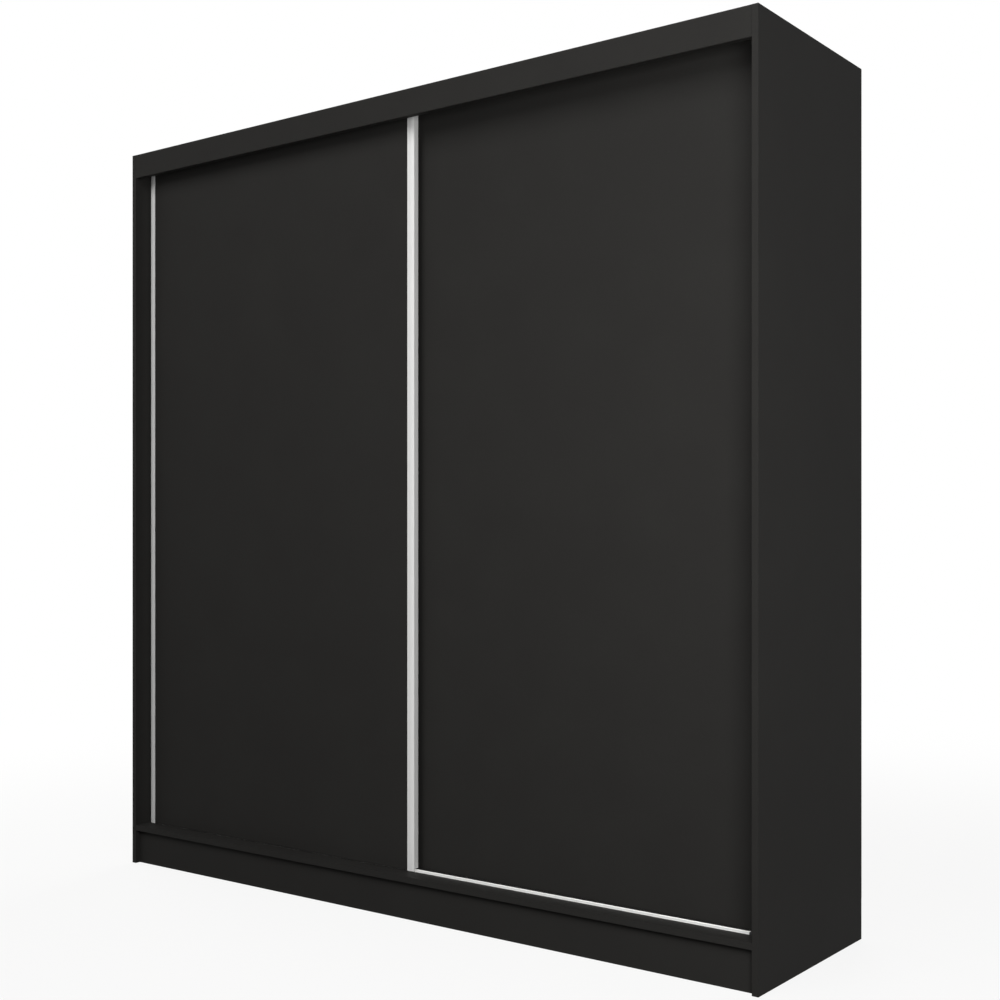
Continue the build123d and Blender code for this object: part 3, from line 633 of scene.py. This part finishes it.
def cross(reach):
    """A cross recess: two bars, each as far from the middle as reach."""
    # This width puts the bars' corners on the ring's own spokes.
    half = reach * math.tan(step_angle)
    bars = []
    for angle in angles:
        c, s = cos_sin(angle)
        bars.append(max(min(reach / c, half / s), min(reach / s, half / c)))
    return bars


def hexagon(across):
    """A hexagon socket with its width between two flats."""
    return [across / 2 / math.cos(angle % (math.pi / 3) - math.pi / 6) for angle in angles]


print("a ring has", ring_points, "points")

# %% Lofts
def loft(bm, seat, rings, turned=0.0):
    """Join rings (radius or radii, depth), in mm, along a seat; both ends close to a point."""
    mouth, into, _ = seat
    side = into.orthogonal().normalized()
    other = into.cross(side)
    loops = []
    for radii, depth in rings:
        radii = radii if isinstance(radii, list) else [radii] * ring_points
        centre = mouth + into * depth * mm
        spokes = [side * math.cos(angle + turned) + other * math.sin(angle + turned)
                  for angle in angles]
        loops.append([bm.verts.new(centre + spoke * radius * mm)
                      for spoke, radius in zip(spokes, radii)])
    for first, second in zip(loops, loops[1:]):
        for k in range(ring_points):
            bm.faces.new((first[k - 1], first[k], second[k], second[k - 1]))
    for loop, (_, depth) in ((loops[0], rings[0]), (loops[-1], rings[-1])):
        tip = bm.verts.new(mouth + into * depth * mm)
        for k in range(ring_points):
            bm.faces.new((loop[k - 1], loop[k], tip))


print("a loft of two rings has", 3 * ring_points, "faces")

# %% Pieces
crease = math.radians(35.0)      # edges that fold more than this stay sharp in the shading


def piece(name, bm, body, node, finish):
    """Make a mesh into a piece that rides on a body, stands for a CAD part and wears a finish."""
    bmesh.ops.recalc_face_normals(bm, faces=bm.faces)
    mesh = bpy.data.meshes.new(name)
    bm.to_mesh(mesh)
    bm.free()
    mesh.shade_smooth()
    mesh.set_sharp_from_angle(angle=crease)
    mesh.materials.append(finish)
    thing = bpy.data.objects.new(name, mesh)
    bpy.context.scene.collection.objects.link(thing)
    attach(thing, body)
    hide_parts(node)
    return thing


print("a piece rides on a body, and stands for a CAD part")

# %% [markdown]
# ## Screws
# All small screws are alike: a flat countersunk head with a cross recess, and a thread that is
# 3 mm across. A thread is a helix, but at this size a row of ridges looks the same and keeps the
# mesh simple. The screws that join the partition to the top and bottom are thicker, with a
# hexagon socket.

# %% Thread and head
head_radius = 2.7                # these are all in millimetres
thread_radius = 1.5
core_radius = 1.05
thread_pitch = 1.2
cross_reach = 1.55


def ridged(outer, core, pitch, start_depth, end_depth):
    """Rings of a thread between two depths."""
    rings, depth = [], start_depth
    while depth + pitch < end_depth:
        rings += [(core, depth), (outer, depth + 0.35 * pitch), (outer, depth + 0.5 * pitch)]
        depth += pitch
    return rings + [(core, depth)]


def wood_screw(length):
    """Rings of a small screw, from the bottom of its recess over the head to its tip."""
    recess = [([r * 0.45 for r in cross(cross_reach)], 0.85), (cross(cross_reach), 0.06)]
    head = [(1.9, 0.02), (head_radius - 0.2, 0.05), (head_radius, 0.2), (head_radius, 0.4),
            (thread_radius, 1.0)]
    thread = ridged(thread_radius, core_radius, thread_pitch, 1.6, length - 1.5)
    return recess + head + thread + [(0.1, length)]


print("a 16 mm screw has", len(wood_screw(16.0)), "rings")

# %% Screws
turn_between_screws = 0.7        # radians, so that no two neighbours look alike
screw_bodies = {
    "bottom_rail_screws": "carcass",
    "top_track_screws": "carcass",
    "rail_bracket_screws": "carcass",
    "wall_bracket_screws": "carcass",
    "left_door_fitting_screws": "left_door",
    "right_door_fitting_screws": "right_door",
}
for node, body in screw_bodies.items():
    bm = bmesh.new()
    for number, seat in enumerate(seats_of(node)):
        loft(bm, seat, wood_screw(seat[2] / mm), turned=turn_between_screws * number)
    piece(node + "_cross_recess", bm, body, node, finishes["zinc_steel"])
print(len(screw_bodies), "sets of screws")

# %% Screws with a hexagon socket
socket = 4.0
bm = bmesh.new()
for seat in seats_of("partition_screws"):
    tip = seat[2] / mm
    recess = [(hexagon(socket), 2.6), (hexagon(socket), 0.05)]
    head = [(4.0, 0.0), (5.0, 0.3), (5.0, 1.4), (3.0, 4.0), (3.0, 9.0)]
    thread = ridged(3.0, 2.1, 2.6, 10.0, tip - 3.0)
    loft(bm, seat, recess + head + thread + [(0.2, tip)])
piece("partition_socket_screws", bm, "carcass", "partition_screws", finishes["zinc_steel"])
print("socket screws", socket, "mm across the flats")

# %% [markdown]
# ## Cam locks, bolts and dowels
# A cam lock is a die-cast drum that a screwdriver turns. It has a cross recess in a dished face, a
# rim, and a waist where its jaws grip the bolt. The bolt is turned steel with a ball at its end. A
# dowel is a beech peg with flutes, which let the glue and the air out, and chamfered ends.

# %% Cam locks
bm = bmesh.new()
for seat in seats_of("cam_locks"):
    mouth, into, _ = seat
    # Locks in level boards look down. Those in the fascia and the front plinth look backwards, and
    # those in the rear plinth look forwards, so no mouth shows from outside.
    if into.z < 0 or (into.y < 0 and mouth.y > 0):
        seat = flipped(seat)
    recess = [([r * 0.6 for r in cross(3.2)], 3.0), (cross(3.2), 0.5), (5.6, 0.4)]
    drum = [(6.2, 0.02), (7.2, 0.02), (7.5, 0.25), (7.5, 3.2), (6.4, 4.0), (6.4, 9.5),
            (7.5, 10.2), (7.3, 12.5)]
    loft(bm, seat, recess + drum)
locks = piece("cam_locks_cross_recess", bm, "carcass", "cam_locks", finishes["cam_zinc"])
print("cam locks with", len(locks.data.polygons), "faces")

# %% Cam bolts and dowels
bm = bmesh.new()
for seat in seats_of("cam_bolts"):
    tip = seat[2] / mm
    thread = [(2.0, 0.0)] + ridged(3.0, 2.2, 1.6, 0.6, 10.5)
    shank = [(3.0, 11.0), (3.0, 12.5), (2.2, 13.0), (2.2, tip - 7.0), (1.6, tip - 6.5),
             (1.6, tip - 3.6)]
    ball = [(2.6, tip - 2.8), (3.0, tip - 1.6), (2.6, tip - 0.5), (1.5, tip)]
    # The threaded end is in the side panel.
    loft(bm, from_outside(seat), thread + shank + ball)
piece("cam_bolts_turned", bm, "carcass", "cam_bolts", finishes["zinc_steel"])

bm = bmesh.new()
flutes = [4.0 if k % 2 else 3.65 for k in range(ring_points)]
for seat in seats_of("dowels"):
    end = seat[2] / mm
    loft(bm, seat, [(3.0, 0.0), (flutes, 1.2), (flutes, end - 1.2), (3.0, end)])
piece("dowels_fluted", bm, "carcass", "dowels", finishes["beech"])
print("cam bolts and dowels")

# %% [markdown]
# ## Nails, buffers and axles
# The nails that hold the back are 20 mm long with a low domed head and a cut point. The buffers
# that stop the doors are soft rubber domes. The axles are plain pins with chamfered ends.

# %% Nails and buffers
bm = bmesh.new()
for seat in seats_of("back_nails"):
    tip = seat[2] / mm
    head = [(0.6, 0.0), (1.2, 0.08), (1.6, 0.3), (1.6, 0.45), (1.3, 0.6), (0.8, 0.62)]
    loft(bm, seat, head + [(0.8, tip - 2.5), (0.05, tip)])
piece("back_nails_domed", bm, "carcass", "back_nails", finishes["zinc_steel"])

bm = bmesh.new()
for seat in seats_of("door_buffers"):
    tall = seat[2] / mm
    dome = [(4.0, tall * 0.35), (3.8, tall * 0.6), (3.2, tall * 0.82), (2.0, tall * 0.96),
            (0.5, tall)]
    # The flat side is glued to the side panel, and the dome looks at the door.
    loft(bm, from_outside(seat), [(3.9, 0.0)] + dome)
piece("door_buffers_domed", bm, "carcass", "door_buffers", finishes["soft_rubber"])
print("nails and buffers")

# %% Axles
doors = ("left_door", "right_door")
for door in doors:
    bm = bmesh.new()
    for seat in seats_of(door + "_wheel_axles"):
        end = seat[2] / mm
        loft(bm, seat, [(1.6, 0.0), (2.0, 0.4), (2.0, end - 0.4), (1.6, end)])
    piece(door + "_axle_pins", bm, door, door + "_wheel_axles", finishes["zinc_steel"])
print("axles in", len(doors), "doors")

# %% [markdown]
# ## Shelf pins
# A shelf pin is a die-cast peg with a shelf rest. The rest is a rounded tongue, so its rings are
# rounded rectangles that shrink towards the nose.

# %% Rounded rectangles
def rounded(high, across, radius):
    """A rounded rectangle as radii at the ring's angles; high lies along the first spoke."""
    radii = []
    for angle in angles:
        c, s = cos_sin(angle)
        flat = min(high / 2 / c, across / 2 / s)
        # In a corner the ray meets the rounding first.
        x, y = high / 2 - radius, across / 2 - radius
        reach = c * x + s * y
        gap = reach * reach - (x * x + y * y - radius * radius)
        corner = reach + math.sqrt(gap) if gap > 0 else flat
        radii.append(corner if c * flat > x and s * flat > y else flat)
    return radii


print("a 5 mm tongue reaches", rounded(5.0, 7.0, 0.8)[0], "mm up from its middle")

# %% Shelf pins
arm, peg = 8.0, 7.0
upright = Vector((0.0, 0.0, 1.0))
tongue = [(rounded(3.4, 5.4, 1.2), 0.0), (rounded(4.6, 6.6, 1.4), 0.5),
          (rounded(5.0, 7.0, 1.2), 1.4), (rounded(5.0, 7.0, 0.8), arm)]
round_peg = [(2.5, arm + 0.02), (2.5, arm + peg - 0.6), (2.0, arm + peg)]
bm = bmesh.new()
for seat in seats_of("shelf_pins"):
    into = seat[1]
    # The first spoke is turned to point up.
    side = into.orthogonal().normalized()
    lie = math.atan2(upright.dot(into.cross(side)), upright.dot(side))
    loft(bm, seat, tongue + round_peg, turned=lie)
piece("shelf_pins_rounded", bm, "carcass", "shelf_pins", finishes["zinc_steel"])
print("shelf pins")

# %% [markdown]
# ## Wheels
# Each door stands on two small wheels, moulded in acetal: a crowned tread, a thin web with five
# ribs, and a hub with a bore. The ring of the profile is turned about the axle, like a lathe, but
# the web's points are lifted where a rib passes, which a lathe can't do.

# %% Wheels
rib_count = 5
steps = 60
steps_per_rib = 2
bore, hub, rim = 2.05, 4.4, 9.3  # radii in millimetres


def spoked_wheel(name, node, body):
    """A wheel about the Y axis in the box of its CAD part."""
    low, high = (Vector(corner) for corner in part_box(node))
    middle = (low + high) / 2
    radius = (high.x - low.x) / 2 / mm
    half = (high.y - low.y) / 2 / mm
    tread = [(radius - 0.8, half), (radius - 0.2, half - 0.3), (radius, half - 0.9)]
    face = [(bore, half - 0.3), (bore + 0.3, half), (hub - 0.2, half), (hub, half - 0.3),
            (hub + 0.2, "web"), (rim - 0.2, "web"), (rim, half - 0.3), (rim + 0.2, half)] + tread
    web, rib = half - 1.5, half - 0.6
    outline = [(r, y, 1) for r, y in face] + [(r, y, -1) for r, y in reversed(face)]
    bm = bmesh.new()
    rows = []
    for step in range(steps):
        angle = math.tau * step / steps
        on_rib = step % (steps // rib_count) < steps_per_rib
        row = []
        for r, y, way in outline:
            y = (rib if on_rib else web) if y == "web" else y
            place = Vector((math.cos(angle) * r, way * y, math.sin(angle) * r)) * mm
            row.append(bm.verts.new(middle + place))
        rows.append(row)
    for k in range(steps):
        for n in range(len(outline)):
            bm.faces.new((rows[k - 1][n - 1], rows[k - 1][n], rows[k][n], rows[k][n - 1]))
    return piece(name, bm, body, node, finishes["white_nylon"])


for door in doors:
    for end in ("left", "right"):
        spoked_wheel(f"{door}_spoked_wheel_{end}", f"{door}_wheel_{end}", f"{door}_{end}_wheel")
print("4 wheels with", rib_count, "ribs on each side")

# %% [markdown]
# ## Eased edges
# Moulded and bent parts never have knife edges: a mould and a tumbling drum both leave a radius,
# and it catches a thin line of light. A Bevel modifier on the CAD mesh would be quick, but
# the CAD mesh stays as it is, so each part is copied, its flat triangles are merged into whole
# faces, and only its long sharp edges are bevelled. The short edges round the holes stay crisp.
# Smooth shading alone would bend the light over the large flat faces too, so a Weighted Normal
# modifier lets those faces set the normals at their own corners.

# %% Eased edges
flat_within = math.radians(1.0)
sharp_from = math.radians(40.0)


def eased(name, node, body, radius):
    """A copy of a CAD part whose long sharp edges are rounded to the radius, in mm."""
    bm = bmesh.new()
    bm.from_mesh(parts[node].data)
    bmesh.ops.remove_doubles(bm, verts=bm.verts, dist=same_point)
    bmesh.ops.dissolve_limit(bm, angle_limit=flat_within, verts=bm.verts, edges=bm.edges)
    shortest = 4 * radius * mm
    sharp = [edge for edge in bm.edges
             if edge.calc_length() > shortest and edge.calc_face_angle(0.0) > sharp_from]
    bmesh.ops.bevel(bm, geom=sharp, offset=radius * mm, segments=3, profile=0.5, affect="EDGES")
    thing = piece(name, bm, body, node, parts[node].data.materials[0])
    thing.modifiers.new("flat_faces_stay_flat", "WEIGHTED_NORMAL").keep_sharp = True
    return thing


eased_parts = [
    eased("rail_end_pieces_moulded", "rail_end_pieces", "carcass", 0.5),
    eased("wall_bracket_bent_left", "wall_bracket_left", "carcass", 0.3),
    eased("wall_bracket_bent_right", "wall_bracket_right", "carcass", 0.3),
]
for door in doors:
    for fitting in ("roller_housings", "top_guides"):
        eased_parts.append(eased(f"{door}_{fitting}_moulded", f"{door}_{fitting}", door, 0.6))
print(len(eased_parts), "parts with eased edges")
